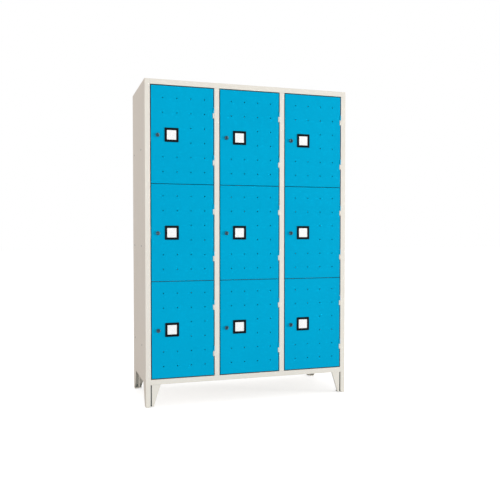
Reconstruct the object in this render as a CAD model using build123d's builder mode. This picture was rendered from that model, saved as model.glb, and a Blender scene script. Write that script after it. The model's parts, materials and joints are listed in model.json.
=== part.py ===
"""Coin operated locker: three columns of three compartments with perforated doors.

Frame: +X to the right, +Y into the locker, +Z up, millimetres. The origin is on the floor under the
middle of the overall box. "Depth" below is measured back from the front face of the carcass.
"""
import os

from build123d import *

# ---------------------------------------------------------------- driving dimensions
WIDTH = 1200.0  # outside of the two side panels
HEIGHT = 1805.0  # floor to top
DEPTH = 500.0  # front face to outside of the back panel
COLUMNS = 3
ROWS = 3

FOOT_HEIGHT = 125.0  # floor to the underside of the carcass
FRAME_FACE = 29.0  # visible width of stiles, posts and rails
FRAME_RETURN = 30.0  # how far a stile, post or rail folds back
STILE_LIP = 12.0
POST_LIP = 8.0
RAIL_LIP = 10.0
STILE_WRAP = 2.0  # how far a stile's sheet wraps round onto the side
SIDE_FLANGE = 19.0  # back flange of a side panel
SHEET = 1.0  # carcass and door sheet

FRAME_GAP = 5.0  # between a door and the frame
DOOR_GAP = 3.0  # between two doors
DOOR_FOLD = 20.0  # depth of the folded door edges
DOOR_LIP = 12.0

PERFORATION_RADIUS = 3.1
PERFORATION_PITCH_X = 78.35
PERFORATION_PITCH_Z = 81.1
PERFORATION_LEFT = 70.3  # first hole column, from the left edge of the opening
PERFORATION_COLUMNS = 4
PERFORATION_ROWS = 6

HINGE_HEIGHT = 58.0
HINGE_INSET = 136.0  # hinge middle to the nearer end of the door
HINGE_GAP = 0.5  # between the two eyes of a hinge
EYE_RADIUS = 4.0
PIN_RADIUS = 2.0
PIN_CLEARANCE = 0.05
PIVOT_INSET = 4.5  # pivot to the right edge of the opening
PIVOT_DEPTH = 2.0
LEAF_THICKNESS = 1.5

LOCK_INSET = 41.5  # lock axis to the left edge of the opening
LOCK_DROP = 3.0  # lock axis below the middle of the door
LOCK_PROUD = 8.0
LOCK_HEAD_RADIUS = 11.0
BARREL_RADIUS = 9.0
PLUG_RADIUS = 6.0
PLUG_CLEARANCE = 0.05
CASE_DEPTH = 32.0
CASE_LEFT = 22.0  # case side to the lock axis
CASE_RIGHT = 34.0
CASE_UP = 50.0
CASE_DOWN = 60.0
CASE_WALL = 2.0
CAM_LENGTH = 51.0
CAM_WIDTH = 16.0
CAM_THICKNESS = 3.0

HOLDER_INSET = 118.5  # number holder middle to the left edge of the opening
HOLDER_SIZE = 78.0
HOLDER_WINDOW = 52.0
HOLDER_PROUD = 3.0

STRIKE_HEIGHT = 64.0
STRIKE_THICKNESS = 3.0
STRIKE_REACH = 13.0  # into the opening, behind the door edge
BUFFER_INSET = 8.5  # buffer to the left edge of the opening
BUFFER_OFFSET = 22.0  # buffer above and below the lock axis
BUFFER_RADIUS = 3.0
BUFFER_GAP = 0.3

FOOT_SHEET = 2.0
FOOT_TOP_WIDTH = 83.0
FOOT_BOTTOM_WIDTH = 44.0
FOOT_TOP_DEPTH = 95.0
FOOT_BOTTOM_DEPTH = 38.0
FOOT_GROOVE_START = 26.5
FOOT_GROOVE_WIDTH = 6.5
FOOT_GROOVE_DEPTH = 16.0
FOOT_LIP = 11.0  # how far the tapered edge of the front leg folds back
GLIDE_HEIGHT = 5.0
GLIDE_WIDTH = 24.0
GLIDE_DEPTH = 34.0
GLIDE_MARGIN = 0.5  # from the outer faces of the foot
FOOT_BOLT_X = (46.0, 67.0)
FOOT_BOLT_DEPTH = 17.0
BOLT_RADIUS = 3.0
BOLT_CLEARANCE = 0.3

JOINING_HOLE_RADIUS = 6.5
JOINING_HOLE_DEPTHS = (150.0, 430.0)
JOINING_HOLE_HEIGHTS = (325.0, 889.0, 1434.0)  # above the floor
WALL_HOLE_RADIUS = 4.5
WALL_HOLE_SPACING_X = 1000.0
WALL_HOLE_SPACING_Z = 1360.0

# ---------------------------------------------------------------- worked-out dimensions
FRONT_Y = (LOCK_PROUD - DEPTH) / 2  # puts the middle of the overall box on the origin
LEFT_X = -WIDTH / 2
COLUMN_PITCH = (WIDTH - FRAME_FACE) / COLUMNS
OPENING_WIDTH = COLUMN_PITCH - FRAME_FACE
OPENING_BOTTOM = FOOT_HEIGHT + FRAME_FACE
OPENING_HEIGHT = HEIGHT - FRAME_FACE - OPENING_BOTTOM
ROW_PITCH = (OPENING_HEIGHT - 2 * FRAME_GAP + DOOR_GAP) / ROWS
DOOR_WIDTH = OPENING_WIDTH - 2 * FRAME_GAP
DOOR_HEIGHT = ROW_PITCH - DOOR_GAP
CARCASS_TOP = HEIGHT - SHEET
BACK_DEPTH = DEPTH - SHEET  # inner face of the back panel
SHELF_FRONT = DOOR_FOLD + 4
SHELF_BODY = FRAME_RETURN + SHEET + 1  # where a shelf widens behind the posts
SHELF_FOLD = 20.0
SHELF_FLANGE = 15.0
CAM_DEPTH = 1 + CASE_DEPTH + 1
BUFFER_FRONT = DOOR_FOLD + BUFFER_GAP

os.makedirs("parts", exist_ok=True)


def front_plane(depth):
    """Plane parallel to the locker's front; its sketches read as front views (X right, Z up)."""
    return Plane.XZ.offset(-(FRONT_Y + depth))


def side_plane(x):
    """Plane across the locker at x; its sketches read as (Y, Z)."""
    return Plane.YZ.offset(x)


def opening_left(column):
    """X of the left edge of a column's door opening."""
    return LEFT_X + FRAME_FACE + column * COLUMN_PITCH


def door_middle(row):
    """Z of the middle of a door; row 0 is the top one."""
    return HEIGHT - FRAME_FACE - FRAME_GAP - DOOR_HEIGHT / 2 - row * ROW_PITCH


def lock_axis(column, row):
    """Front view position (X, Z) of a door's lock axis."""
    return (opening_left(column) + LOCK_INSET, door_middle(row) - LOCK_DROP)


def hinge_middles(row):
    """Z of the middles of a door's two hinges."""
    reach = DOOR_HEIGHT / 2 - HINGE_INSET
    return (door_middle(row) - reach, door_middle(row) + reach)


def write(builder, name):
    """Label a finished piece and write its STEP file."""
    builder.part.label = name
    export_step(builder.part, f"parts/{name}.step")


# every door as (number, column, row), numbered from the top left
DOORS = [(row * COLUMNS + column + 1, column, row) for row in range(ROWS) for column in range(COLUMNS)]


# ---------------------------------------------------------------- carcass
def side_panel_runs():
    """Left side panel as the three runs of its folded sheet, meeting face to face at the folds."""
    stile_inner = FRAME_FACE - SHEET
    return_inner = FRAME_RETURN - SHEET
    height = CARCASS_TOP - FOOT_HEIGHT
    stile_faces = [
        (FRAME_FACE - STILE_LIP, return_inner),
        (stile_inner, return_inner),
        (stile_inner, SHEET),
        (SHEET, SHEET),
        (SHEET, STILE_WRAP),
    ]
    with BuildPart() as stile:
        with BuildSketch(Plane.XY.offset(FOOT_HEIGHT)):
            with BuildLine():
                Polyline([(LEFT_X + x, FRONT_Y + depth) for x, depth in stile_faces])
                offset(amount=SHEET, side=Side.LEFT)
            make_face()
        extrude(amount=height)
    with BuildPart() as web:
        with BuildSketch(side_plane(LEFT_X)):
            with Locations((FRONT_Y + (STILE_WRAP + BACK_DEPTH) / 2, FOOT_HEIGHT + height / 2)):
                Rectangle(BACK_DEPTH - STILE_WRAP, height)
            with Locations([(FRONT_Y + depth, z) for depth in JOINING_HOLE_DEPTHS for z in JOINING_HOLE_HEIGHTS]):
                Circle(JOINING_HOLE_RADIUS, mode=Mode.SUBTRACT)
        extrude(amount=SHEET)
    with BuildPart() as flange:
        with BuildSketch(Plane.XY.offset(FOOT_HEIGHT)):
            with Locations((LEFT_X + SHEET + SIDE_FLANGE / 2, FRONT_Y + BACK_DEPTH - SHEET / 2)):
                Rectangle(SIDE_FLANGE, SHEET)
        extrude(amount=height)
    return [stile.part.solid(), web.part.solid(), flange.part.solid()]


def side_panels():
    """The two side panels: front stile, web with joining holes, and back flange."""
    left = Compound(side_panel_runs())
    for panel, name in ((left, "side_panel_left"), (left.mirror(Plane.YZ), "side_panel_right")):
        panel.label = name
        export_step(panel, f"parts/{name}.step")


def top_panel():
    """Top sheet with the front rail folded down from it."""
    rail_inner = HEIGHT - FRAME_FACE + SHEET
    inner_faces = [
        (FRAME_RETURN - SHEET, rail_inner + RAIL_LIP),
        (FRAME_RETURN - SHEET, rail_inner),
        (SHEET, rail_inner),
        (SHEET, CARCASS_TOP),
        (DEPTH, CARCASS_TOP),
    ]
    with BuildPart() as panel:
        with BuildSketch(side_plane(LEFT_X + FRAME_FACE)):
            with BuildLine():
                Polyline([(FRONT_Y + depth, z) for depth, z in inner_faces])
                offset(amount=SHEET, side=Side.LEFT)
            make_face()
        extrude(amount=WIDTH - 2 * FRAME_FACE)
        with BuildSketch(Plane.XY.offset(CARCASS_TOP)):
            for side in (-1, 1):
                with Locations((side * (WIDTH - FRAME_FACE) / 2, FRONT_Y + DEPTH / 2)):
                    Rectangle(FRAME_FACE, DEPTH)
        extrude(amount=SHEET)
    write(panel, "top_panel")


def bottom_panel():
    """Floor of the bottom compartments with front and back rails folded down from it."""
    floor_inner = OPENING_BOTTOM - SHEET
    rail_inner = FOOT_HEIGHT + SHEET
    back_inner = BACK_DEPTH - SHEET
    inner_faces = [
        (FRAME_RETURN - SHEET, rail_inner + RAIL_LIP),
        (FRAME_RETURN - SHEET, rail_inner),
        (SHEET, rail_inner),
        (SHEET, floor_inner),
        (back_inner, floor_inner),
        (back_inner, rail_inner),
        (back_inner - FRAME_RETURN + SHEET, rail_inner),
        (back_inner - FRAME_RETURN + SHEET, rail_inner + RAIL_LIP),
    ]
    strip_depth = BACK_DEPTH - SHEET - FRAME_RETURN
    bolts = foot_bolt_points()
    with BuildPart() as panel:
        with BuildSketch(side_plane(LEFT_X + FRAME_FACE)):
            with BuildLine():
                Polyline([(FRONT_Y + depth, z) for depth, z in inner_faces])
                offset(amount=SHEET, side=Side.LEFT)
            make_face()
        extrude(amount=WIDTH - 2 * FRAME_FACE)
        with BuildSketch(Plane.XY.offset(floor_inner)):
            for side in (-1, 1):
                with Locations((side * (WIDTH - FRAME_FACE - SHEET) / 2, FRONT_Y + FRAME_RETURN + strip_depth / 2)):
                    Rectangle(FRAME_FACE - SHEET, strip_depth)
        extrude(amount=SHEET)
        with BuildSketch(Plane.XY.offset(FOOT_HEIGHT)):
            with Locations(bolts):
                Circle(BOLT_RADIUS + BOLT_CLEARANCE)
        extrude(amount=SHEET, mode=Mode.SUBTRACT)
    write(panel, "bottom_panel")


def back_panel():
    """Flat back sheet with four wall fixing holes."""
    middle_z = (FOOT_HEIGHT + CARCASS_TOP) / 2
    with BuildPart() as panel:
        with BuildSketch(front_plane(BACK_DEPTH)):
            with Locations((0, middle_z)):
                Rectangle(WIDTH, CARCASS_TOP - FOOT_HEIGHT)
            with Locations((0, middle_z)):
                with GridLocations(WALL_HOLE_SPACING_X, WALL_HOLE_SPACING_Z, 2, 2):
                    Circle(WALL_HOLE_RADIUS, mode=Mode.SUBTRACT)
        extrude(amount=-SHEET)
    write(panel, "back_panel")


def partitions():
    """Upright sheets between the columns, flanged onto the posts and onto the back panel."""
    front = FRAME_RETURN + SHEET
    back = BACK_DEPTH - SHEET
    with BuildPart() as sheets:
        for column in range(COLUMNS - 1):
            web = opening_left(column) + OPENING_WIDTH + FRAME_FACE / 2 - SHEET / 2
            flange = web - 12
            inner_faces = [(flange, back), (web, back), (web, front), (flange, front)]
            with BuildSketch(Plane.XY.offset(OPENING_BOTTOM)):
                with BuildLine():
                    Polyline([(x, FRONT_Y + depth) for x, depth in inner_faces])
                    offset(amount=SHEET, side=Side.LEFT)
                make_face()
            extrude(amount=CARCASS_TOP - OPENING_BOTTOM)
    write(sheets, "partitions")


def front_posts():
    """The two folded posts between the door columns, from the bottom rail to the top rail."""
    wall = FRAME_FACE - SHEET
    back = FRAME_RETURN - SHEET
    inner_faces = [
        (FRAME_FACE - POST_LIP, back),
        (wall, back),
        (wall, SHEET),
        (SHEET, SHEET),
        (SHEET, back),
        (POST_LIP, back),
    ]
    with BuildPart() as posts:
        for column in range(COLUMNS - 1):
            left = opening_left(column) + OPENING_WIDTH
            with BuildSketch(Plane.XY.offset(OPENING_BOTTOM)):
                with BuildLine():
                    Polyline([(left + x, FRONT_Y + depth) for x, depth in inner_faces])
                    offset(amount=SHEET, side=Side.LEFT)
                make_face()
            extrude(amount=OPENING_HEIGHT)
    write(posts, "front_posts")


def shelves():
    """Six shelves; each narrows in front to pass between the posts and folds down all round."""
    web = FRAME_FACE - SHEET
    half_post = (FRAME_FACE - SHEET) / 2
    back = BACK_DEPTH - SHEET
    with BuildPart() as trays:
        for column in range(COLUMNS):
            left = opening_left(column)
            right = left + OPENING_WIDTH
            far_left = left - (web if column == 0 else half_post)
            far_right = right + (web if column == COLUMNS - 1 else half_post)
            outline = [
                (left + 1, FRONT_Y + SHELF_FRONT),
                (right - 1, FRONT_Y + SHELF_FRONT),
                (right - 1, FRONT_Y + SHELF_BODY),
                (far_right, FRONT_Y + SHELF_BODY),
                (far_right, FRONT_Y + back),
                (far_left, FRONT_Y + back),
                (far_left, FRONT_Y + SHELF_BODY),
                (left + 1, FRONT_Y + SHELF_BODY),
            ]
            for row in range(ROWS - 1):
                top = door_middle(row) - DOOR_HEIGHT / 2 - DOOR_GAP / 2 + SHEET / 2
                with BuildSketch(Plane.XY.offset(top)):
                    with BuildLine():
                        Polyline(outline, close=True)
                    make_face()
                extrude(amount=-SHEET)
                with BuildSketch(Plane.XY.offset(top - SHEET)):
                    with Locations(((left + right) / 2, FRONT_Y + SHELF_FRONT + SHEET / 2)):
                        Rectangle(OPENING_WIDTH - 2, SHEET)
                extrude(amount=SHEET - SHELF_FOLD)
                with BuildSketch(Plane.XY.offset(top - SHEET)):
                    with Locations(
                        (far_left + SHEET / 2, FRONT_Y + (SHELF_BODY + back) / 2),
                        (far_right - SHEET / 2, FRONT_Y + (SHELF_BODY + back) / 2),
                    ):
                        Rectangle(SHEET, back - SHELF_BODY)
                    with Locations(((far_left + far_right) / 2, FRONT_Y + back - SHEET / 2)):
                        Rectangle(far_right - far_left, SHEET)
                extrude(amount=SHEET - SHELF_FLANGE)
    write(trays, "shelves")


# ---------------------------------------------------------------- feet
def foot_bolt_points():
    """Plan positions of the eight bolts that hold the four feet."""
    points = []
    for side in (-1, 1):
        for from_corner in FOOT_BOLT_X:
            x = side * (WIDTH / 2 - from_corner)
            points.append((x, FRONT_Y + FOOT_BOLT_DEPTH))
            points.append((x, FRONT_Y + DEPTH - FOOT_BOLT_DEPTH))
    return points


def foot_section():
    """Inner faces of a foot's folded sheet in plan, from the front leg's free edge round to the side leg's."""
    groove_end = FOOT_GROOVE_START + FOOT_GROOVE_WIDTH
    groove_floor = FOOT_GROOVE_DEPTH + FOOT_SHEET
    return [
        (FOOT_TOP_WIDTH, FOOT_SHEET),
        (groove_end + FOOT_SHEET, FOOT_SHEET),
        (groove_end + FOOT_SHEET, groove_floor),
        (FOOT_GROOVE_START - FOOT_SHEET, groove_floor),
        (FOOT_GROOVE_START - FOOT_SHEET, FOOT_SHEET),
        (FOOT_SHEET, FOOT_SHEET),
        (FOOT_SHEET, FOOT_TOP_DEPTH),
    ]


def feet():
    """Four folded corner feet: a grooved, tapered front leg, a tapered side leg, head and sole plates."""
    middle_y = FRONT_Y + DEPTH / 2
    rise = FOOT_HEIGHT - GLIDE_HEIGHT
    front_cut = [
        (LEFT_X + FOOT_TOP_WIDTH, FOOT_HEIGHT),
        (LEFT_X + FOOT_BOTTOM_WIDTH, GLIDE_HEIGHT),
        (LEFT_X + FOOT_TOP_WIDTH + 1, GLIDE_HEIGHT),
        (LEFT_X + FOOT_TOP_WIDTH + 1, FOOT_HEIGHT),
    ]
    side_cut = [
        (FRONT_Y + FOOT_TOP_DEPTH, FOOT_HEIGHT),
        (FRONT_Y + FOOT_BOTTOM_DEPTH, GLIDE_HEIGHT),
        (FRONT_Y + FOOT_TOP_DEPTH + 1, GLIDE_HEIGHT),
        (FRONT_Y + FOOT_TOP_DEPTH + 1, FOOT_HEIGHT),
    ]
    lip = [
        (LEFT_X + FOOT_TOP_WIDTH - FOOT_SHEET, FOOT_HEIGHT),
        (LEFT_X + FOOT_TOP_WIDTH, FOOT_HEIGHT),
        (LEFT_X + FOOT_BOTTOM_WIDTH, GLIDE_HEIGHT),
        (LEFT_X + FOOT_BOTTOM_WIDTH - FOOT_SHEET, GLIDE_HEIGHT),
    ]
    head_width = FOOT_TOP_WIDTH - 8
    with BuildPart() as legs:
        with BuildSketch(Plane.XY.offset(GLIDE_HEIGHT)):
            with BuildLine():
                Polyline([(LEFT_X + x, FRONT_Y + depth) for x, depth in foot_section()])
                offset(amount=FOOT_SHEET, side=Side.LEFT)
            make_face()
        extrude(amount=rise)
        with BuildSketch(front_plane(0)):
            with BuildLine():
                Polyline(front_cut, close=True)
            make_face()
        extrude(amount=-FOOT_TOP_DEPTH, mode=Mode.SUBTRACT)
        with BuildSketch(side_plane(LEFT_X)):
            with BuildLine():
                Polyline(side_cut, close=True)
            make_face()
        extrude(amount=FOOT_TOP_WIDTH, mode=Mode.SUBTRACT)
        with BuildSketch(front_plane(FOOT_SHEET / 2)):
            with BuildLine():
                Polyline(lip, close=True)
            make_face()
        extrude(amount=FOOT_SHEET / 2 - FOOT_LIP)
        with BuildSketch(Plane.XY.offset(FOOT_HEIGHT - FOOT_SHEET)):
            with Locations((LEFT_X + head_width / 2 + 1, FRONT_Y + FRAME_RETURN / 2 + 1)):
                Rectangle(head_width - 2, FRAME_RETURN - 2)
            with Locations([(LEFT_X + x, FRONT_Y + FOOT_BOLT_DEPTH) for x in FOOT_BOLT_X]):
                Circle(BOLT_RADIUS + BOLT_CLEARANCE, mode=Mode.SUBTRACT)
        extrude(amount=FOOT_SHEET)
        with BuildSketch(Plane.XY.offset(GLIDE_HEIGHT)):
            with Locations((LEFT_X + FOOT_BOTTOM_WIDTH / 2, FRONT_Y + FOOT_BOTTOM_DEPTH / 2)):
                Rectangle(FOOT_BOTTOM_WIDTH - 2, FOOT_BOTTOM_DEPTH - 2)
        extrude(amount=FOOT_SHEET)
        mirror(about=Plane.YZ)
        mirror(about=Plane.XZ.offset(-middle_y))
    write(legs, "feet")


def foot_glides():
    """Moulded pads under the outer corners of the feet."""
    middle_y = FRONT_Y + DEPTH / 2
    offset_x = WIDTH / 2 - GLIDE_MARGIN - GLIDE_WIDTH / 2
    offset_y = DEPTH / 2 - GLIDE_MARGIN - GLIDE_DEPTH / 2
    with BuildPart() as pads:
        for side_x in (-1, 1):
            for side_y in (-1, 1):
                with BuildSketch(Plane.XY.offset(GLIDE_HEIGHT)):
                    with Locations((side_x * offset_x, middle_y + side_y * offset_y)):
                        RectangleRounded(GLIDE_WIDTH, GLIDE_DEPTH, 5)
                extrude(amount=-GLIDE_HEIGHT)
        chamfer(pads.faces().sort_by(Axis.Z)[:4].edges(), 1.5)
    write(pads, "foot_glides")


def foot_bolts():
    """Hexagon bolts from under each foot's head plate, with their nuts on the rail above."""
    head_top = FOOT_HEIGHT - FOOT_SHEET
    nut_bottom = FOOT_HEIGHT + SHEET
    with BuildPart() as bolts:
        for point in foot_bolt_points():
            with BuildSketch(Plane.XY.offset(head_top)):
                with Locations(point):
                    RegularPolygon(5, 6, major_radius=False)
            extrude(amount=-4)
            with BuildSketch(Plane.XY.offset(head_top)):
                with Locations(point):
                    Circle(BOLT_RADIUS)
            extrude(amount=14)
            with BuildSketch(Plane.XY.offset(nut_bottom)):
                with Locations(point):
                    RegularPolygon(5, 6, major_radius=False)
            extrude(amount=5)
    write(bolts, "foot_bolts")


# ---------------------------------------------------------------- hinges, frame side
def pivot_point(column):
    """Plan position of a column's hinge axis."""
    return (opening_left(column) + OPENING_WIDTH - PIVOT_INSET, FRONT_Y + PIVOT_DEPTH)


def frame_hinge_eyes():
    """Lower eye of every hinge, rolled from a leaf that lies against the side of the post."""
    eye_height = (HINGE_HEIGHT - HINGE_GAP) / 2
    with BuildPart() as eyes:
        for _, column, row in DOORS:
            pivot = pivot_point(column)
            post_face = opening_left(column) + OPENING_WIDTH
            for middle in hinge_middles(row):
                with BuildSketch(Plane.XY.offset(middle - HINGE_HEIGHT / 2)):
                    with Locations(pivot):
                        Circle(EYE_RADIUS)
                    with Locations((post_face - LEAF_THICKNESS / 2, FRONT_Y + PIVOT_DEPTH + 13)):
                        Rectangle(LEAF_THICKNESS, 26)
                    with Locations(pivot):
                        Circle(PIN_RADIUS, mode=Mode.SUBTRACT)
                extrude(amount=eye_height)
    write(eyes, "frame_hinge_eyes")


def hinge_pins():
    """Hinge pins, fast in the lower eyes and running in the upper ones."""
    with BuildPart() as pins:
        for _, column, row in DOORS:
            for middle in hinge_middles(row):
                with BuildSketch(Plane.XY.offset(middle - HINGE_HEIGHT / 2)):
                    with Locations(pivot_point(column)):
                        Circle(PIN_RADIUS)
                extrude(amount=HINGE_HEIGHT - 1)
    write(pins, "hinge_pins")


# ---------------------------------------------------------------- strikes
def buffer_points(column, row):
    """Front view positions of the two buffers behind a door's lock edge."""
    x = opening_left(column) + BUFFER_INSET
    return [(x, lock_axis(column, row)[1] + side * BUFFER_OFFSET) for side in (-1, 1)]


def strike_plates():
    """Plates on the lock side of each opening: the cam closes behind them."""
    width = POST_LIP + STRIKE_REACH
    with BuildPart() as plates:
        for _, column, row in DOORS:
            middle = lock_axis(column, row)[1]
            with BuildSketch(front_plane(FRAME_RETURN)):
                with Locations((opening_left(column) - POST_LIP + width / 2, middle)):
                    RectangleRounded(width, STRIKE_HEIGHT, 2)
                with Locations(buffer_points(column, row)):
                    Circle(BUFFER_RADIUS / 2, mode=Mode.SUBTRACT)
            extrude(amount=-STRIKE_THICKNESS)
    write(plates, "strike_plates")


def door_buffers():
    """Rubber buttons pressed into the strike plates; the closed door rests on them."""
    with BuildPart() as buffers:
        for _, column, row in DOORS:
            with BuildSketch(front_plane(BUFFER_FRONT)):
                with Locations(buffer_points(column, row)):
                    Circle(BUFFER_RADIUS)
            extrude(amount=BUFFER_FRONT - FRAME_RETURN)
            with BuildSketch(front_plane(FRAME_RETURN)):
                with Locations(buffer_points(column, row)):
                    Circle(BUFFER_RADIUS / 2)
            extrude(amount=-STRIKE_THICKNESS)
    write(buffers, "door_buffers")


# ---------------------------------------------------------------- doors
def perforation_points(left, middle):
    """Hole centres in a door; the two left columns miss the two rows behind the lock and holder."""
    points = []
    for i in range(PERFORATION_COLUMNS):
        for k in range(PERFORATION_ROWS):
            if i < 2 and k in (2, 3):
                continue
            x = left + PERFORATION_LEFT + i * PERFORATION_PITCH_X
            z = middle + ((PERFORATION_ROWS - 1) / 2 - k) * PERFORATION_PITCH_Z
            points.append((x, z))
    return points


def holder_pegs(left, middle):
    """Centres of the two pegs that fix a number holder."""
    return [(left + HOLDER_INSET, middle + side * HOLDER_SIZE * 0.42) for side in (-1, 1)]


def door_panel(number, column, row):
    """Folded perforated door with its two upper hinge eyes on cranked leaves."""
    left = opening_left(column)
    middle = door_middle(row)
    centre = (left + OPENING_WIDTH / 2, middle)
    right = left + OPENING_WIDTH - FRAME_GAP
    pivot = pivot_point(column)
    notch_left = pivot[0] - EYE_RADIUS - 1
    eye_height = (HINGE_HEIGHT - HINGE_GAP) / 2
    with BuildPart() as panel:
        with BuildSketch(front_plane(0)):
            with Locations(centre):
                Rectangle(DOOR_WIDTH, DOOR_HEIGHT)
        extrude(amount=-DOOR_FOLD)
        fillet(panel.faces().sort_by(Axis.Y)[0].edges(), 1.5)
        with BuildSketch(front_plane(SHEET)):
            with Locations(centre):
                Rectangle(DOOR_WIDTH - 2 * SHEET, DOOR_HEIGHT - 2 * SHEET)
        extrude(amount=2 * SHEET - DOOR_FOLD, mode=Mode.SUBTRACT)
        with BuildSketch(front_plane(DOOR_FOLD - SHEET)):
            with Locations(centre):
                Rectangle(DOOR_WIDTH - 2 * DOOR_LIP, DOOR_HEIGHT - 2 * DOOR_LIP)
        extrude(amount=-SHEET, mode=Mode.SUBTRACT)
        with BuildSketch(front_plane(0)):
            with Locations([((notch_left + right) / 2, z) for z in hinge_middles(row)]):
                Rectangle(right - notch_left, HINGE_HEIGHT + 3)
        extrude(amount=-DOOR_FOLD, mode=Mode.SUBTRACT)
        with BuildSketch(front_plane(0)):
            with Locations(perforation_points(left, middle)):
                Circle(PERFORATION_RADIUS)
            with Locations(lock_axis(column, row)):
                Circle(BARREL_RADIUS)
            with Locations(holder_pegs(left, middle)):
                Circle(2)
        extrude(amount=-SHEET, mode=Mode.SUBTRACT)
        for hinge in hinge_middles(row):
            back_face = FRONT_Y + PIVOT_DEPTH + EYE_RADIUS
            leaf = [
                (pivot[0], back_face - LEAF_THICKNESS),
                (pivot[0] - 10, back_face - LEAF_THICKNESS),
                (pivot[0] - 14, FRONT_Y + SHEET),
                (pivot[0] - 40, FRONT_Y + SHEET),
                (pivot[0] - 40, FRONT_Y + SHEET + LEAF_THICKNESS),
                (pivot[0] - 13, FRONT_Y + SHEET + LEAF_THICKNESS),
                (pivot[0] - 9, back_face),
                (pivot[0], back_face),
            ]
            with BuildSketch(Plane.XY.offset(hinge + HINGE_GAP / 2)):
                with BuildLine():
                    Polyline(leaf, close=True)
                make_face()
                with Locations(pivot):
                    Circle(EYE_RADIUS)
                with Locations(pivot):
                    Circle(PIN_RADIUS + PIN_CLEARANCE, mode=Mode.SUBTRACT)
            extrude(amount=eye_height)
    write(panel, f"door_panel_{number}")


def number_holder(number, column, row):
    """Square label frame on the door face, held by two pegs."""
    left = opening_left(column)
    centre = (left + HOLDER_INSET, door_middle(row))
    with BuildPart() as holder:
        with BuildSketch(front_plane(0)):
            with Locations(centre):
                RectangleRounded(HOLDER_SIZE, HOLDER_SIZE, 3)
        extrude(amount=HOLDER_PROUD)
        chamfer(holder.faces().sort_by(Axis.Y)[0].edges(), 0.8)
        with BuildSketch(front_plane(-HOLDER_PROUD)):
            with Locations(centre):
                Rectangle(HOLDER_WINDOW, HOLDER_WINDOW)
        extrude(amount=-1.6, mode=Mode.SUBTRACT)
        with BuildSketch(front_plane(0)):
            with Locations(holder_pegs(left, door_middle(row))):
                Circle(2)
        extrude(amount=-3)
    write(holder, f"number_holder_{number}")


def lock_case(number, column, row):
    """Coin lock housing inside the door: open box with a coin slot and a coin return cup."""
    axis_x, middle = lock_axis(column, row)
    width = CASE_LEFT + CASE_RIGHT
    height = CASE_UP + CASE_DOWN
    centre = (axis_x + (CASE_RIGHT - CASE_LEFT) / 2, middle + (CASE_UP - CASE_DOWN) / 2)
    cup_bottom = middle - CASE_DOWN + CASE_WALL
    cup_height = 26.0
    cup_depth = 22.0
    lip_height = 7.0
    back = SHEET + CASE_DEPTH
    with BuildPart() as case:
        with BuildSketch(front_plane(SHEET)):
            with Locations(centre):
                RectangleRounded(width, height, 5)
        extrude(amount=-CASE_DEPTH)
        with BuildSketch(front_plane(SHEET)):
            with Locations(centre):
                RectangleRounded(width - 2 * CASE_WALL, height - 2 * CASE_WALL, 3)
        extrude(amount=CASE_WALL - CASE_DEPTH, mode=Mode.SUBTRACT)
        with BuildSketch(front_plane(back - cup_depth - CASE_WALL)):
            with Locations((centre[0], cup_bottom + (cup_height + CASE_WALL) / 2)):
                Rectangle(width - 2 * CASE_WALL, cup_height + CASE_WALL)
        extrude(amount=-cup_depth)
        with BuildSketch(front_plane(back - cup_depth)):
            with Locations((centre[0], cup_bottom + cup_height / 2)):
                Rectangle(width - 4 * CASE_WALL, cup_height)
        extrude(amount=CASE_WALL - cup_depth, mode=Mode.SUBTRACT)
        with BuildSketch(front_plane(back)):
            with Locations((centre[0], cup_bottom + lip_height + (cup_height - lip_height) / 2)):
                Rectangle(width - 4 * CASE_WALL, cup_height - lip_height)
            with Locations((axis_x, middle)):
                Circle(BARREL_RADIUS)
            with Locations((axis_x + 22, middle + 24)):
                SlotOverall(30, 3.2, rotation=90)
        extrude(amount=CASE_WALL, mode=Mode.SUBTRACT)
    write(case, f"lock_case_{number}")


def lock_barrel(number, column, row):
    """Fixed lock barrel: round head in front of the door, body through the case, nut behind the sheet."""
    axis = lock_axis(column, row)
    with BuildPart() as barrel:
        with BuildSketch(front_plane(0)):
            with Locations(axis):
                Circle(LOCK_HEAD_RADIUS)
        extrude(amount=LOCK_PROUD)
        chamfer(barrel.faces().sort_by(Axis.Y)[0].edges(), 1.5)
        with BuildSketch(front_plane(0)):
            with Locations(axis):
                Circle(BARREL_RADIUS)
        extrude(amount=-(SHEET + CASE_DEPTH))
        with BuildSketch(front_plane(SHEET)):
            with Locations(axis):
                RegularPolygon(12.5, 6, major_radius=False)
        extrude(amount=-5)
        with BuildSketch(front_plane(-LOCK_PROUD)):
            with Locations(axis):
                Circle(PLUG_RADIUS + PLUG_CLEARANCE)
        extrude(amount=-(LOCK_PROUD + SHEET + CASE_DEPTH), mode=Mode.SUBTRACT)
    write(barrel, f"lock_barrel_{number}")


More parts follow.
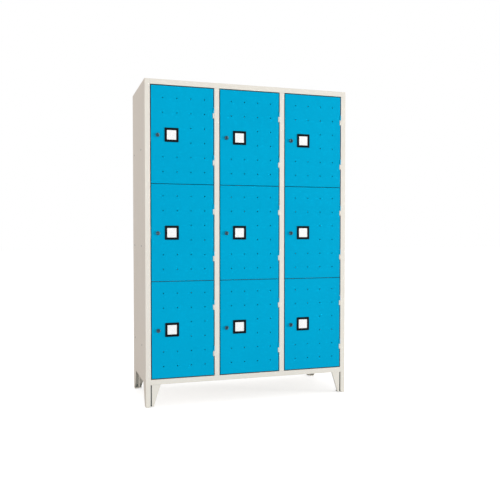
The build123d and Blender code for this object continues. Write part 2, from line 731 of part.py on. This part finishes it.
def lock_plug(number, column, row):
    """Turning plug with its keyway and tail, the cam on the tail and the cam screw."""
    axis = lock_axis(column, row)
    tail_start = CAM_DEPTH - 0.5
    cam_back = CAM_DEPTH + CAM_THICKNESS
    with BuildPart() as plug:
        with BuildSketch(front_plane(0.4 - LOCK_PROUD)):
            with Locations(axis):
                Circle(PLUG_RADIUS)
        extrude(amount=-(tail_start + LOCK_PROUD - 0.4))
        with BuildSketch(front_plane(0.4 - LOCK_PROUD)):
            with Locations(axis):
                Rectangle(1.8, 8.5)
        extrude(amount=-22, mode=Mode.SUBTRACT)
        with BuildSketch(front_plane(tail_start)):
            with Locations(axis):
                Rectangle(7.6, 7.6)
        extrude(amount=-(cam_back - tail_start))
        with BuildSketch(front_plane(CAM_DEPTH)):
            with Locations((axis[0], axis[1] + (CAM_LENGTH - CAM_WIDTH / 2) / 2)):
                RectangleRounded(CAM_WIDTH, CAM_LENGTH + CAM_WIDTH / 2, 3)
        extrude(amount=-CAM_THICKNESS)
        with BuildSketch(front_plane(cam_back)):
            with Locations(axis):
                Circle(6)
        extrude(amount=-3)
    write(plug, f"lock_plug_{number}")


side_panels()
top_panel()
bottom_panel()
back_panel()
partitions()
front_posts()
shelves()
feet()
foot_glides()
foot_bolts()
frame_hinge_eyes()
hinge_pins()
strike_plates()
door_buffers()
for number, column, row in DOORS:
    door_panel(number, column, row)
    number_holder(number, column, row)
    lock_case(number, column, row)
    lock_barrel(number, column, row)
    lock_plug(number, column, row)
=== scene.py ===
import json
import math

import bmesh
import bpy
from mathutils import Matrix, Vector


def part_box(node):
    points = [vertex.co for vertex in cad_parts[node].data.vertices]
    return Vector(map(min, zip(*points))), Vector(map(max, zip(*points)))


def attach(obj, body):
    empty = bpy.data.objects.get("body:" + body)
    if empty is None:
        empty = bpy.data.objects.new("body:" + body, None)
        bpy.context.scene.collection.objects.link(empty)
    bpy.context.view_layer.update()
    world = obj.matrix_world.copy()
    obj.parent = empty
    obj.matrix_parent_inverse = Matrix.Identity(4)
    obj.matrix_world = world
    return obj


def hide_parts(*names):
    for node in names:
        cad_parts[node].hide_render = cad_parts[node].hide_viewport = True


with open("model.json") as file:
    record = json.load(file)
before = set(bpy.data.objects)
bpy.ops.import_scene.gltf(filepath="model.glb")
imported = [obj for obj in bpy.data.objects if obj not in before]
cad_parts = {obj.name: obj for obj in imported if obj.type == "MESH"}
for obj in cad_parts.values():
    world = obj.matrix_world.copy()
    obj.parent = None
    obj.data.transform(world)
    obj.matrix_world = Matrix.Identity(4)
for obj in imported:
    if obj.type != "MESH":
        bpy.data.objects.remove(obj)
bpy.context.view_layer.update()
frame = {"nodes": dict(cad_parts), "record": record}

DOORS = range(1, 10)
MM = 0.001

# ------------------------------------------------------------------ materials
NOISE_SPAN = (0.3, 0.7)  # where nearly all values of a noise texture lie
FOLD_REACH = 0.03  # metres; folds and gaps narrower than this get painted shade
FOLD_SAMPLES = 6
FOLD_SPAN = (0.1, 0.5)  # openness at which the painted shade is darkest, and from which there is none
DEEPEST_SHADE = (0.05, 0.13, 0.17)  # part of each colour channel that the darkest painted shade keeps
PLASTIC_UNEVENNESS = 0.06  # how far moulded plastic's roughness strays to either side


def new_material(name):
    """An empty node material with its Principled shader and its object coordinates."""
    material = bpy.data.materials.new(name)
    material.use_nodes = True
    tree = material.node_tree
    shader = tree.nodes["Principled BSDF"]
    coordinates = tree.nodes.new("ShaderNodeTexCoord")
    return material, tree, shader, coordinates.outputs["Object"]


def noise(tree, vector, scale, detail, roughness=0.5):
    """Noise texture value in object space; scale is in waves per metre."""
    node = tree.nodes.new("ShaderNodeTexNoise")
    node.inputs["Scale"].default_value = scale
    node.inputs["Detail"].default_value = detail
    node.inputs["Roughness"].default_value = roughness
    tree.links.new(vector, node.inputs["Vector"])
    return node.outputs["Fac"]


def remap(tree, value, low, high):
    """Value spread from the middle of a noise onto the range low to high."""
    node = tree.nodes.new("ShaderNodeMapRange")
    node.inputs["From Min"].default_value = NOISE_SPAN[0]
    node.inputs["From Max"].default_value = NOISE_SPAN[1]
    node.inputs["To Min"].default_value = low
    node.inputs["To Max"].default_value = high
    tree.links.new(value, node.inputs["Value"])
    return node.outputs["Result"]


def blend_colours(tree, value, first, second):
    """Colour between two colours, chosen by a value from 0 to 1."""
    node = tree.nodes.new("ShaderNodeMix")
    node.data_type = "RGBA"
    node.inputs["A"].default_value = (*first, 1)
    node.inputs["B"].default_value = (*second, 1)
    tree.links.new(value, node.inputs["Factor"])
    return node.outputs["Result"]


def bump(tree, shader, layers):
    """Stack of bumps; each layer is (height value, distance in metres, strength)."""
    last = None
    for height, distance, strength in layers:
        node = tree.nodes.new("ShaderNodeBump")
        node.inputs["Distance"].default_value = distance
        node.inputs["Strength"].default_value = strength
        tree.links.new(height, node.inputs["Height"])
        if last is not None:
            tree.links.new(last, node.inputs["Normal"])
        last = node.outputs["Normal"]
    tree.links.new(last, shader.inputs["Normal"])


def openness(tree):
    """Mask of the painted shade: 1 on open surfaces, falling to 0 deep in folds and gaps narrower than the
    fold reach.
    """
    node = tree.nodes.new("ShaderNodeAmbientOcclusion")
    node.samples = FOLD_SAMPLES
    node.inputs["Distance"].default_value = FOLD_REACH
    ramp = tree.nodes.new("ShaderNodeMapRange")
    ramp.inputs["From Min"].default_value = FOLD_SPAN[0]
    ramp.inputs["From Max"].default_value = FOLD_SPAN[1]
    tree.links.new(node.outputs["AO"], ramp.inputs["Value"])
    return ramp.outputs["Result"]


def powder_coat(name, colour, shade, specular, tint, rough_low, rough_high):
    """Baked powder coat: orange peel, slow tone drift, uneven gloss, and painted shade, darker and cooler, in
    folds and gaps.
    """
    material, tree, shader, vector = new_material(name)
    drift = remap(tree, noise(tree, vector, scale=3.0, detail=3.0), 0, 1)
    tone = blend_colours(tree, drift, colour, shade)
    # painted shade: the colour is darkened and cooled deep in folds and gaps, by ambient occlusion
    painted_shade = [part * channel for part, channel in zip(DEEPEST_SHADE, colour)]
    shaded_tone = blend_colours(tree, openness(tree), painted_shade, shade)
    tree.links.new(tone, shaded_tone.node.inputs["B"])
    tree.links.new(shaded_tone, shader.inputs["Base Color"])
    gloss = remap(tree, noise(tree, vector, scale=40.0, detail=4.0), rough_low, rough_high)
    tree.links.new(gloss, shader.inputs["Roughness"])
    shader.inputs["Specular IOR Level"].default_value = specular
    shader.inputs["Specular Tint"].default_value = (*tint, 1)
    peel = noise(tree, vector, scale=420.0, detail=2.0)
    waviness = noise(tree, vector, scale=9.0, detail=1.0)
    bump(tree, shader, [(peel, 0.08 * MM, 0.6), (waviness, 1.2 * MM, 0.25)])
    return material


def moulded_plastic(name, colour, shade, roughness, specular):
    """Moulded plastic with a fine spark-eroded grain."""
    material, tree, shader, vector = new_material(name)
    drift = remap(tree, noise(tree, vector, scale=60.0, detail=3.0), 0, 1)
    tree.links.new(blend_colours(tree, drift, colour, shade), shader.inputs["Base Color"])
    wear = noise(tree, vector, scale=900.0, detail=2.0)
    gloss = remap(tree, wear, roughness - PLASTIC_UNEVENNESS, roughness + PLASTIC_UNEVENNESS)
    tree.links.new(gloss, shader.inputs["Roughness"])
    shader.inputs["Specular IOR Level"].default_value = specular
    grain = noise(tree, vector, scale=2200.0, detail=1.0)
    bump(tree, shader, [(grain, 0.04 * MM, 0.7)])
    return material


def plated_metal(name, colour, shade, rough_low, rough_high, grain):
    """Plated or turned metal: fine streaks and cloudy patches in its gloss."""
    material, tree, shader, vector = new_material(name)
    patches = remap(tree, noise(tree, vector, scale=160.0, detail=4.0), 0, 1)
    tree.links.new(blend_colours(tree, patches, colour, shade), shader.inputs["Base Color"])
    shader.inputs["Metallic"].default_value = 1.0
    gloss = remap(tree, noise(tree, vector, scale=700.0, detail=3.0), rough_low, rough_high)
    tree.links.new(gloss, shader.inputs["Roughness"])
    stretch = tree.nodes.new("ShaderNodeMapping")
    stretch.inputs["Scale"].default_value = grain
    tree.links.new(vector, stretch.inputs["Vector"])
    streaks = noise(tree, stretch.outputs["Vector"], scale=300.0, detail=3.0)
    bump(tree, shader, [(streaks, 0.03 * MM, 0.5)])
    return material


def paper_card(name):
    """Uncoated card with faint fibres."""
    material, tree, shader, vector = new_material(name)
    fibres = remap(tree, noise(tree, vector, scale=1500.0, detail=4.0, roughness=0.7), 0, 1)
    tone = blend_colours(tree, fibres, first=(0.97, 0.975, 0.965), second=(0.94, 0.945, 0.935))
    tree.links.new(tone, shader.inputs["Base Color"])
    shader.inputs["Roughness"].default_value = 0.85
    shader.inputs["Specular IOR Level"].default_value = 0.2
    bump(tree, shader, [(fibres, 0.03 * MM, 0.5)])
    return material


def clear_sheet(name):
    """Thin clear plastic cover with faint haze."""
    material, tree, shader, vector = new_material(name)
    haze = remap(tree, noise(tree, vector, scale=120.0, detail=3.0), low=0.04, high=0.12)
    tree.links.new(haze, shader.inputs["Roughness"])
    shader.inputs["Base Color"].default_value = (0.9, 0.92, 0.93, 1)
    shader.inputs["Alpha"].default_value = 0.06
    ripple = noise(tree, vector, scale=30.0, detail=1.0)
    bump(tree, shader, [(ripple, 0.2 * MM, 0.2)])
    return material


def soft_rubber(name):
    """Dull black rubber with a dusty bloom."""
    material, tree, shader, vector = new_material(name)
    bloom = remap(tree, noise(tree, vector, scale=500.0, detail=4.0), 0, 1)
    tone = blend_colours(tree, bloom, first=(0.012, 0.012, 0.012), second=(0.03, 0.03, 0.03))
    tree.links.new(tone, shader.inputs["Base Color"])
    shader.inputs["Roughness"].default_value = 0.8
    grain = noise(tree, vector, scale=1800.0, detail=2.0)
    bump(tree, shader, [(grain, 0.05 * MM, 0.6)])
    return material


FINISHES = {
    "frame_paint": powder_coat(
        "frame_paint", colour=(0.80, 0.765, 0.69), shade=(0.78, 0.74, 0.665),
        specular=0.35, tint=(1, 1, 1), rough_low=0.38, rough_high=0.48,
    ),
    "door_paint": powder_coat(
        "door_paint", colour=(0.0, 0.385, 0.64), shade=(0.0, 0.368, 0.62),
        specular=0.07, tint=(0.1, 0.6, 1), rough_low=0.40, rough_high=0.50,
    ),
    "holder_plastic": moulded_plastic(
        "holder_plastic", colour=(0.0015, 0.002, 0.003), shade=(0.004, 0.005, 0.006),
        roughness=0.5, specular=0.08,
    ),
    "card_stock": paper_card("card_stock"),
    "clear_window": clear_sheet("clear_window"),
    "glide_plastic": moulded_plastic(
        "glide_plastic", colour=(0.74, 0.71, 0.64), shade=(0.70, 0.67, 0.60),
        roughness=0.45, specular=0.3,
    ),
    "lock_housing": moulded_plastic(
        "lock_housing", colour=(0.022, 0.022, 0.024), shade=(0.035, 0.035, 0.037),
        roughness=0.5, specular=0.35,
    ),
    "lock_metal": plated_metal(
        "lock_metal", colour=(0.085, 0.15, 0.19), shade=(0.065, 0.115, 0.15),
        rough_low=0.26, rough_high=0.40, grain=(1, 0.1, 1),
    ),
    "plug_metal": plated_metal(
        "plug_metal", colour=(0.05, 0.09, 0.115), shade=(0.036, 0.066, 0.085),
        rough_low=0.28, rough_high=0.42, grain=(1, 0.1, 1),
    ),
    "zinc_steel": plated_metal(
        "zinc_steel", colour=(0.60, 0.60, 0.57), shade=(0.50, 0.50, 0.47),
        rough_low=0.30, rough_high=0.46, grain=(1, 1, 0.2),
    ),
    "buffer_rubber": soft_rubber("buffer_rubber"),
}

SOFTENED = (
    "top_panel", "bottom_panel", "partitions", "front_posts",
    "shelves", "feet", "foot_glides", "strike_plates",
)
WELD_DISTANCE = 0.01 * MM
SOFT_EDGE = 0.3 * MM
SHARPEST_LEFT = 50  # degrees; edges that turn by more than this are softened


def paint_cad_nodes():
    """Gives every CAD node the procedural finish of its record slot."""
    slots = {s["node"]: s["material_slot"] for s in frame["record"]["subparts"]}
    for name, node in frame["nodes"].items():
        node.data.materials.clear()
        node.data.materials.append(FINISHES[slots[name]])
        if name in SOFTENED:
            soften(node)


def soften(node):
    """Breaks a node's sharp edges by a fraction of a millimetre, so that they catch the light."""
    weld = node.modifiers.new("weld", "WELD")
    weld.merge_threshold = WELD_DISTANCE
    edges = node.modifiers.new("soft_edges", "BEVEL")
    edges.width = SOFT_EDGE
    edges.segments = 2
    edges.limit_method = "ANGLE"
    edges.angle_limit = math.radians(SHARPEST_LEFT)
    edges.harden_normals = True


# ------------------------------------------------------------------ mesh helpers
CORNER_STEPS = 6
TIP = 0.2  # mm; radius of the flat cap that closes a turned shape at its axis
RECESS_CORNER = 0.2  # mm
CREASE_ANGLE = 35  # degrees; sharper edges are not shaded smooth


def rounded_rectangle(middle, half, radius, y):
    """Points of a rounded rectangle in the XZ plane at depth y, counter-clockwise from the right."""
    points = []
    for corner in range(4):
        start = corner * math.pi / 2
        sign_x = 1 if corner in (0, 3) else -1
        sign_z = 1 if corner in (0, 1) else -1
        for step in range(CORNER_STEPS + 1):
            angle = start + step / CORNER_STEPS * math.pi / 2
            x = middle[0] + sign_x * (half[0] - radius) + radius * math.cos(angle)
            z = middle[1] + sign_z * (half[1] - radius) + radius * math.sin(angle)
            points.append(Vector((x, y, z)))
    return points


def circle(radius, y, steps):
    """Points of a circle about the Y axis at depth y."""
    turn = 2 * math.pi / steps
    return [Vector((radius * math.cos(i * turn), y, radius * math.sin(i * turn))) for i in range(steps)]


def skin_loops(loops, ring):
    """Quads between successive closed loops, which are joined into a ring or capped at both ends."""
    mesh = bmesh.new()
    rows = [[mesh.verts.new(p) for p in loop] for loop in loops]
    pairs = list(zip(rows, rows[1:]))
    if ring:
        pairs.append((rows[-1], rows[0]))
    for a, b in pairs:
        for i in range(len(a)):
            j = (i + 1) % len(a)
            mesh.faces.new((a[i], a[j], b[j], b[i]))
    if not ring:
        mesh.faces.new(rows[0])
        mesh.faces.new(rows[-1])
    return mesh


def lathe(profile, closed=False, steps=64):
    """Turned shape about the Y axis from (radius, y) points in millimetres."""
    return skin_loops([circle(radius * MM, y * MM, steps) for radius, y in profile], closed)


def rounded_tube(sections, middle=(0, 0), closed=False):
    """Skin through (half width, half height, corner radius, y) sections in millimetres."""
    centre = (middle[0] * MM, middle[1] * MM)
    loops = [rounded_rectangle(centre, (w * MM, h * MM), r * MM, y * MM) for w, h, r, y in sections]
    return skin_loops(loops, closed)


def shift(mesh, x, z):
    """Moves a bmesh sideways and up by millimetres."""
    bmesh.ops.translate(mesh, verts=mesh.verts, vec=(x * MM, 0, z * MM))
    return mesh


def join(*meshes):
    """One bmesh from several."""
    whole = bmesh.new()
    for mesh in meshes:
        data = bpy.data.meshes.new("part")
        mesh.to_mesh(data)
        mesh.free()
        whole.from_mesh(data)
        bpy.data.meshes.remove(data)
    return whole


def carve(mesh, cutters):
    """A bmesh with other closed bmeshes cut out of it."""
    things = []
    for source in (mesh, *cutters):
        bmesh.ops.recalc_face_normals(source, faces=source.faces)
        data = bpy.data.meshes.new("carving")
        source.to_mesh(data)
        source.free()
        thing = bpy.data.objects.new("carving", data)
        bpy.context.scene.collection.objects.link(thing)
        things.append(thing)
    for cutter in things[1:]:
        modifier = things[0].modifiers.new("cut", "BOOLEAN")
        modifier.operation = "DIFFERENCE"
        modifier.solver = "EXACT"
        modifier.object = cutter
    result = bmesh.new()
    result.from_object(things[0], bpy.context.evaluated_depsgraph_get())
    for thing in things:
        bpy.data.meshes.remove(thing.data)
    return result


def cross_recess(half_width, half_length, bottom, top):
    """Two crossed bars that cut a screw's recess."""
    spans = ((half_width, half_length), (half_length, half_width))
    return [rounded_tube([(w, h, RECESS_CORNER, bottom), (w, h, RECESS_CORNER, top)]) for w, h in spans]


def cross_head(radius, height, dome, y):
    """Screw head with its flat side at y, its crown towards +Y and a cross recess."""
    head = lathe([
        (TIP, y), (radius, y), (radius, y + height * 0.45), (radius * 0.93, y + height * 0.75),
        (radius * 0.7, y + height), (TIP, y + height + dome),
    ], steps=40)
    return carve(head, cross_recess(
        half_width=0.5, half_length=radius * 0.6,
        bottom=y + height * 0.45, top=y + height + dome + 0.5,
    ))


def place(name, data, position, body, slot_name, *nodes, turn=0.0):
    """Puts a finished mesh at a position on a body, turned about Z, in place of the CAD nodes named."""
    thing = bpy.data.objects.new(name, data)
    thing.location = position
    thing.rotation_euler.z = turn
    bpy.context.scene.collection.objects.link(thing)
    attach(thing, body)
    if nodes:
        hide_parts(*nodes)


def finished(name, mesh, slot_name):
    """Mesh data with its normals, its smooth shading up to the crease angle, and its finish."""
    bmesh.ops.recalc_face_normals(mesh, faces=mesh.faces)
    data = bpy.data.meshes.new(name)
    mesh.to_mesh(data)
    mesh.free()
    for face in data.polygons:
        face.use_smooth = True
    data.set_sharp_from_angle(angle=math.radians(CREASE_ANGLE))
    data.materials.append(FINISHES[slot_name])
    return data


# ------------------------------------------------------------------ number holders
# Millimetres from the middle of the window; y = 0 is the door's face, and -y is outwards.
HOLDER_HALF = 39.0
HOLDER_DEPTH = 3.0
WINDOW_HALF = 26.0
WINDOW_CORNER = 1.0


def holder_frame():
    """Moulded label frame with a crowned rim."""
    return finished("holder_frame", rounded_tube([
        (HOLDER_HALF, HOLDER_HALF, 3.0, 0.0),
        (HOLDER_HALF, HOLDER_HALF, 3.0, -1.9),
        (HOLDER_HALF - 0.3, HOLDER_HALF - 0.3, 2.8, -2.6),
        (HOLDER_HALF - 1.1, HOLDER_HALF - 1.1, 2.4, -HOLDER_DEPTH),
        (WINDOW_HALF + 2.6, WINDOW_HALF + 2.6, 1.8, -HOLDER_DEPTH),
        (WINDOW_HALF + 1.0, WINDOW_HALF + 1.0, 1.3, -2.6),
        (WINDOW_HALF, WINDOW_HALF, WINDOW_CORNER, -1.9),
        (WINDOW_HALF, WINDOW_HALF, WINDOW_CORNER, 0.0),
    ], closed=True), "holder_plastic")


def window_sheet(back, front):
    """Flat sheet that fills the frame's window between two depths."""
    return rounded_tube([
        (WINDOW_HALF, WINDOW_HALF, WINDOW_CORNER, back),
        (WINDOW_HALF, WINDOW_HALF, WINDOW_CORNER, front),
    ])


# ------------------------------------------------------------------ coin locks
# Millimetres from the lock's axis, bores as radii; y = 0 is the door's outer face, and -y is outwards.
HEAD_PROUD = 8.0
HEAD_RADIUS = 11.0
BARREL_RADIUS = 9.0
BARREL_BORE = 6.05
NUT_CORNER = 14.4  # from the axis to a corner
PLUG_RADIUS = 6.0
PLUG_END = 33.5
CAM_BACK = 34.0
CAM_FACE = 37.0
CAM_MIDDLE = (0, 21.5)
CAM_SLOT_MIDDLE = (0, 32.0)
CASE_FACE = 33.0
CASE_MIDDLE = (6.0, -5.0)
CASE_HALF = (28.0, 55.0)
CASE_CORNER = 5.0
CASE_INNER_CORNER = 1.2
CASE_WALL = 2.0
COIN_SLOT = (22.0, 24.0)
CUP_MIDDLE = (6.0, -41.5)
CASE_SCREWS = ((-16.5, 44.5), (28.5, -24.0), (-16.5, -24.0))


def lock_head():
    """Turned lock barrel with a rolled rim and its hexagon nut behind the door sheet."""
    barrel = lathe([
        (BARREL_BORE, -7.2), (6.5, -7.55), (7.6, -7.6), (8.1, -7.9), (9.3, -HEAD_PROUD),
        (10.2, -7.75), (10.8, -7.1), (HEAD_RADIUS, -6.2), (HEAD_RADIUS, -0.9), (10.6, -0.4), (10.6, 0.0),
        (BARREL_RADIUS, 0.0), (BARREL_RADIUS, CASE_FACE), (BARREL_BORE, CASE_FACE),
    ], closed=True)
    nut = lathe([
        (BARREL_RADIUS, 1.0), (13.3, 1.0), (NUT_CORNER, 1.6),
        (NUT_CORNER, 5.4), (13.3, 6.0), (BARREL_RADIUS, 6.0),
    ], closed=True, steps=6)
    return finished("lock_head", join(barrel, nut), "lock_metal")


def lock_cylinder():
    """Turning plug with its keyway, the square tail, the cam on the tail and the cam screw."""
    plug = lathe([
        (TIP, -7.6), (5.5, -7.6), (PLUG_RADIUS, -7.2), (PLUG_RADIUS, PLUG_END), (TIP, PLUG_END),
    ], steps=48)
    keyway = rounded_tube([(0.9, 4.2, 0.85, -9.0), (0.9, 4.2, 0.85, 14.0)])
    shutter = rounded_tube([(0.8, 4.0, 0.7, -6.4), (0.8, 4.0, 0.7, -5.8)])
    tail = rounded_tube([(3.8, 3.8, 0.5, PLUG_END), (3.8, 3.8, 0.5, CAM_FACE)])
    cam = rounded_tube([
        (7.7, 29.2, 3.2, CAM_BACK), (8.0, 29.5, 3.5, 34.3),
        (8.0, 29.5, 3.5, 36.7), (7.7, 29.2, 3.2, CAM_FACE),
    ], middle=CAM_MIDDLE)
    cam_slot = rounded_tube([(1.6, 9.0, 1.5, 35.4), (2.4, 9.8, 2.3, 37.3)], middle=CAM_SLOT_MIDDLE)
    screw = cross_head(radius=5.8, height=2.2, dome=0.7, y=CAM_FACE)
    pieces = join(carve(plug, [keyway]), shutter, tail, carve(cam, [cam_slot]), screw)
    return finished("lock_cylinder", pieces, "plug_metal")


def case_section(inset, y):
    """Outline of the lock case, drawn in by an inset."""
    corner = max(CASE_CORNER - inset, CASE_INNER_CORNER)
    return (CASE_HALF[0] - inset, CASE_HALF[1] - inset, corner, y)


def lock_housing():
    """Moulded coin lock housing: rounded shell, coin slot with a funnel, return cup and screw seats."""
    shell = rounded_tube([
        case_section(4.2, 31.0), case_section(2.6, 30.2), case_section(CASE_WALL, 28.6),
        case_section(CASE_WALL, 1.0), case_section(0.0, 1.0), case_section(0.0, 29.8),
        case_section(0.4, 31.5), case_section(1.3, 32.6), case_section(3.0, CASE_FACE),
    ], middle=CASE_MIDDLE)
    barrel_hole = lathe([(9.1, 20.0), (9.1, 40.0)], steps=48)
    slot = rounded_tube([(1.7, 15.0, 1.6, 20.0), (1.7, 15.0, 1.6, 40.0)], middle=COIN_SLOT)
    slot_funnel = rounded_tube([(2.0, 15.3, 1.9, 31.5), (4.4, 17.7, 4.2, 33.6)], middle=COIN_SLOT)
    cup_hole = rounded_tube([(23.0, 8.6, 3.0, 20.0), (23.0, 8.6, 3.0, 40.0)], middle=CUP_MIDDLE)
    cup_lead_in = rounded_tube([(23.2, 8.8, 3.1, 31.8), (25.0, 10.6, 4.6, 33.4)], middle=CUP_MIDDLE)
    seats = [shift(lathe([(1.9, 25.0), (1.9, 31.6), (4.6, 33.6)], steps=32), x, z) for x, z in CASE_SCREWS]
    cup = rounded_tube([
        (22.0, 8.0, 5.0, 13.0), (23.6, 9.8, 5.0, 16.0), (24.4, 10.4, 4.2, 31.0),
        (25.6, 12.0, 4.2, 31.0), (25.0, 11.4, 5.0, 12.0), (23.0, 9.4, 5.0, 11.5),
    ], middle=CUP_MIDDLE)
    cutters = [barrel_hole, slot, slot_funnel, cup_hole, cup_lead_in, *seats]
    return finished("lock_housing", join(carve(shell, cutters), cup), "lock_housing")


def case_screws():
    """Countersunk screws that hold the housing to the door."""
    heads = []
    for x, z in CASE_SCREWS:
        head = lathe([
            (TIP, 28.0), (1.7, 28.0), (1.7, 31.4), (3.6, 32.7), (3.6, 32.9), (TIP, 32.95),
        ], steps=32)
        recess = cross_recess(half_width=0.45, half_length=2.0, bottom=31.6, top=34.0)
        heads.append(shift(carve(head, recess), x, z))
    return finished("case_screws", join(*heads), "zinc_steel")


def fit_doors():
    """Number holder and coin lock of every door, placed from the boxes of their CAD nodes."""
    frame_mesh = holder_frame()
    card_mesh = finished("holder_card", window_sheet(back=-1.0, front=-1.4), "card_stock")
    window_mesh = finished("holder_window", window_sheet(back=-1.5, front=-2.0), "clear_window")
    head_mesh = lock_head()
    cylinder_mesh = lock_cylinder()
    housing_mesh = lock_housing()
    screw_mesh = case_screws()
    for n in DOORS:
        door = f"door_{n}"
        low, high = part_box(f"number_holder_{n}")
        holder = Vector(((low.x + high.x) / 2, low.y + HOLDER_DEPTH * MM, (low.z + high.z) / 2))
        place(f"holder_frame_{n}", frame_mesh, holder, door, "holder_plastic", f"number_holder_{n}")
        place(f"holder_card_{n}", card_mesh, holder, door, "card_stock")
        place(f"holder_window_{n}", window_mesh, holder, door, "clear_window")
        low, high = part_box(f"lock_barrel_{n}")
        axis = Vector(((low.x + high.x) / 2, low.y + HEAD_PROUD * MM, (low.z + high.z) / 2))
        place(f"lock_head_{n}", head_mesh, axis, door, "lock_metal", f"lock_barrel_{n}")
        place(f"lock_housing_{n}", housing_mesh, axis, door, "lock_housing", f"lock_case_{n}")
        place(f"case_screws_{n}", screw_mesh, axis, door, "zinc_steel")
        place(f"lock_cylinder_{n}", cylinder_mesh, axis, f"lock_plug_{n}", "plug_metal", f"lock_plug_{n}")


# ------------------------------------------------------------------ joining sleeves
# Radii and length in millimetres; y = 0 is the side panel's outer face.
SLEEVE_BORE = 3.0
SLEEVE_RADIUS = 6.2
SLEEVE_LENGTH = 9.0


def joining_sleeves():
    """Dark steel sleeve nuts, flush in the joining holes that the record's bolt patterns give."""
    sleeve = finished("joining_sleeve", lathe([
        (SLEEVE_BORE, 0.5), (3.5, 0.0), (5.8, 0.0), (SLEEVE_RADIUS, 0.4),
        (SLEEVE_RADIUS, SLEEVE_LENGTH), (SLEEVE_BORE, SLEEVE_LENGTH),
    ], closed=True, steps=40), "lock_metal")
    for mount in frame["record"]["mounts"]:
        if not mount["name"].startswith("side_joining"):
            continue
        middle = Vector(mount["pos_m"])
        dims = mount["dims"]
        half_y = dims["spacing_x_mm"] / 2 * MM
        half_z = dims.get("spacing_y_mm", 0) / 2 * MM
        rises = (-1, 1) if half_z else (0,)
        inwards = math.copysign(math.pi / 2, middle.x)
        for along in (-1, 1):
            for rise in rises:
                name = f"{mount['name']}_{along + 1}{rise + 1}"
                spot = middle + Vector((0, along * half_y, rise * half_z))
                place(name, sleeve, spot, "root", "lock_metal", turn=inwards)


# ------------------------------------------------------------------ stage, light and camera
AMBIENT = 0.59  # strength of the even light all round
FLOOR_SIZE = 60  # metres
FLOOR_GREY = 0.8
FLOOR_GLOW = 0.62  # lifts the lit floor to plain white in the camera's view only
CAMERA_LENS = 46.58
CAMERA_PLACE = (-1.117, -3.7887, 0.9692)
CAMERA_DIP = 1.597  # degrees below the horizon
CAMERA_HEADING = -17.508  # degrees about Z from facing +Y
CAMERA_REACH = 200  # metres


def studio():
    """White sweep in even soft light, with a side lamp, a front lamp and a warm glow on the left side."""
    bpy.ops.mesh.primitive_plane_add(size=FLOOR_SIZE, location=(0, 0, 0))
    floor = bpy.context.object
    floor.name = "studio_floor"
    material, tree, shader, _ = new_material("studio_floor")
    shader.inputs["Base Color"].default_value = (FLOOR_GREY, FLOOR_GREY, FLOOR_GREY, 1)
    shader.inputs["Roughness"].default_value = 0.9
    shader.inputs["Specular IOR Level"].default_value = 0.0
    shader.inputs["Emission Color"].default_value = (1, 1, 1, 1)
    tree.links.new(seen_directly(tree, 0.0, FLOOR_GLOW), shader.inputs["Emission Strength"])
    floor.data.materials.append(material)

    world = bpy.data.worlds.new("studio")
    world.use_nodes = True
    background = world.node_tree.nodes["Background"]
    background.inputs["Color"].default_value = (1, 1, 1, 1)
    strength = seen_directly(world.node_tree, AMBIENT, 1.0)
    world.node_tree.links.new(strength, background.inputs["Strength"])
    bpy.context.scene.world = world

    lamp("side_lamp", (11.0, -4.8, 0.9), aim=(0, -0.25, 0.85), size=2.6, power=900)
    lamp("front_lamp", (-1.5, -8.0, 0.7), aim=(0, -0.25, 0.4), size=3.0, power=215)
    lamp("warm_wall", (-9.0, 1.6, 1.2), aim=(-0.6, 0, 0.9), size=4.0, power=130, colour=(1.0, 0.68, 0.52))


def seen_directly(tree, as_light, as_backdrop):
    """Strength of the sweep as it lights the locker, and as the plain white behind it."""
    path = tree.nodes.new("ShaderNodeLightPath")
    pick = tree.nodes.new("ShaderNodeMapRange")
    pick.inputs["To Min"].default_value = as_light
    pick.inputs["To Max"].default_value = as_backdrop
    tree.links.new(path.outputs["Is Camera Ray"], pick.inputs["Value"])
    return pick.outputs["Result"]


def lamp(name, spot, aim, size, power, colour=(1, 1, 1)):
    """Square area lamp aimed at a point."""
    data = bpy.data.lights.new(name, "AREA")
    data.size = size
    data.energy = power
    data.color = colour
    thing = bpy.data.objects.new(name, data)
    thing.location = spot
    thing.rotation_euler = (Vector(aim) - Vector(spot)).to_track_quat("-Z", "Y").to_euler()
    bpy.context.scene.collection.objects.link(thing)


def camera():
    """Camera at about half the locker's height, in front of it and to its left."""
    data = bpy.data.cameras.new("camera")
    data.lens = CAMERA_LENS
    data.clip_end = CAMERA_REACH
    thing = bpy.data.objects.new("camera", data)
    thing.location = CAMERA_PLACE
    thing.rotation_euler = (math.radians(90 - CAMERA_DIP), 0, math.radians(CAMERA_HEADING))
    bpy.context.scene.collection.objects.link(thing)
    bpy.context.scene.camera = thing


bpy.context.scene.view_settings.view_transform = "Standard"
camera()
studio()
paint_cad_nodes()
fit_doors()
joining_sleeves()
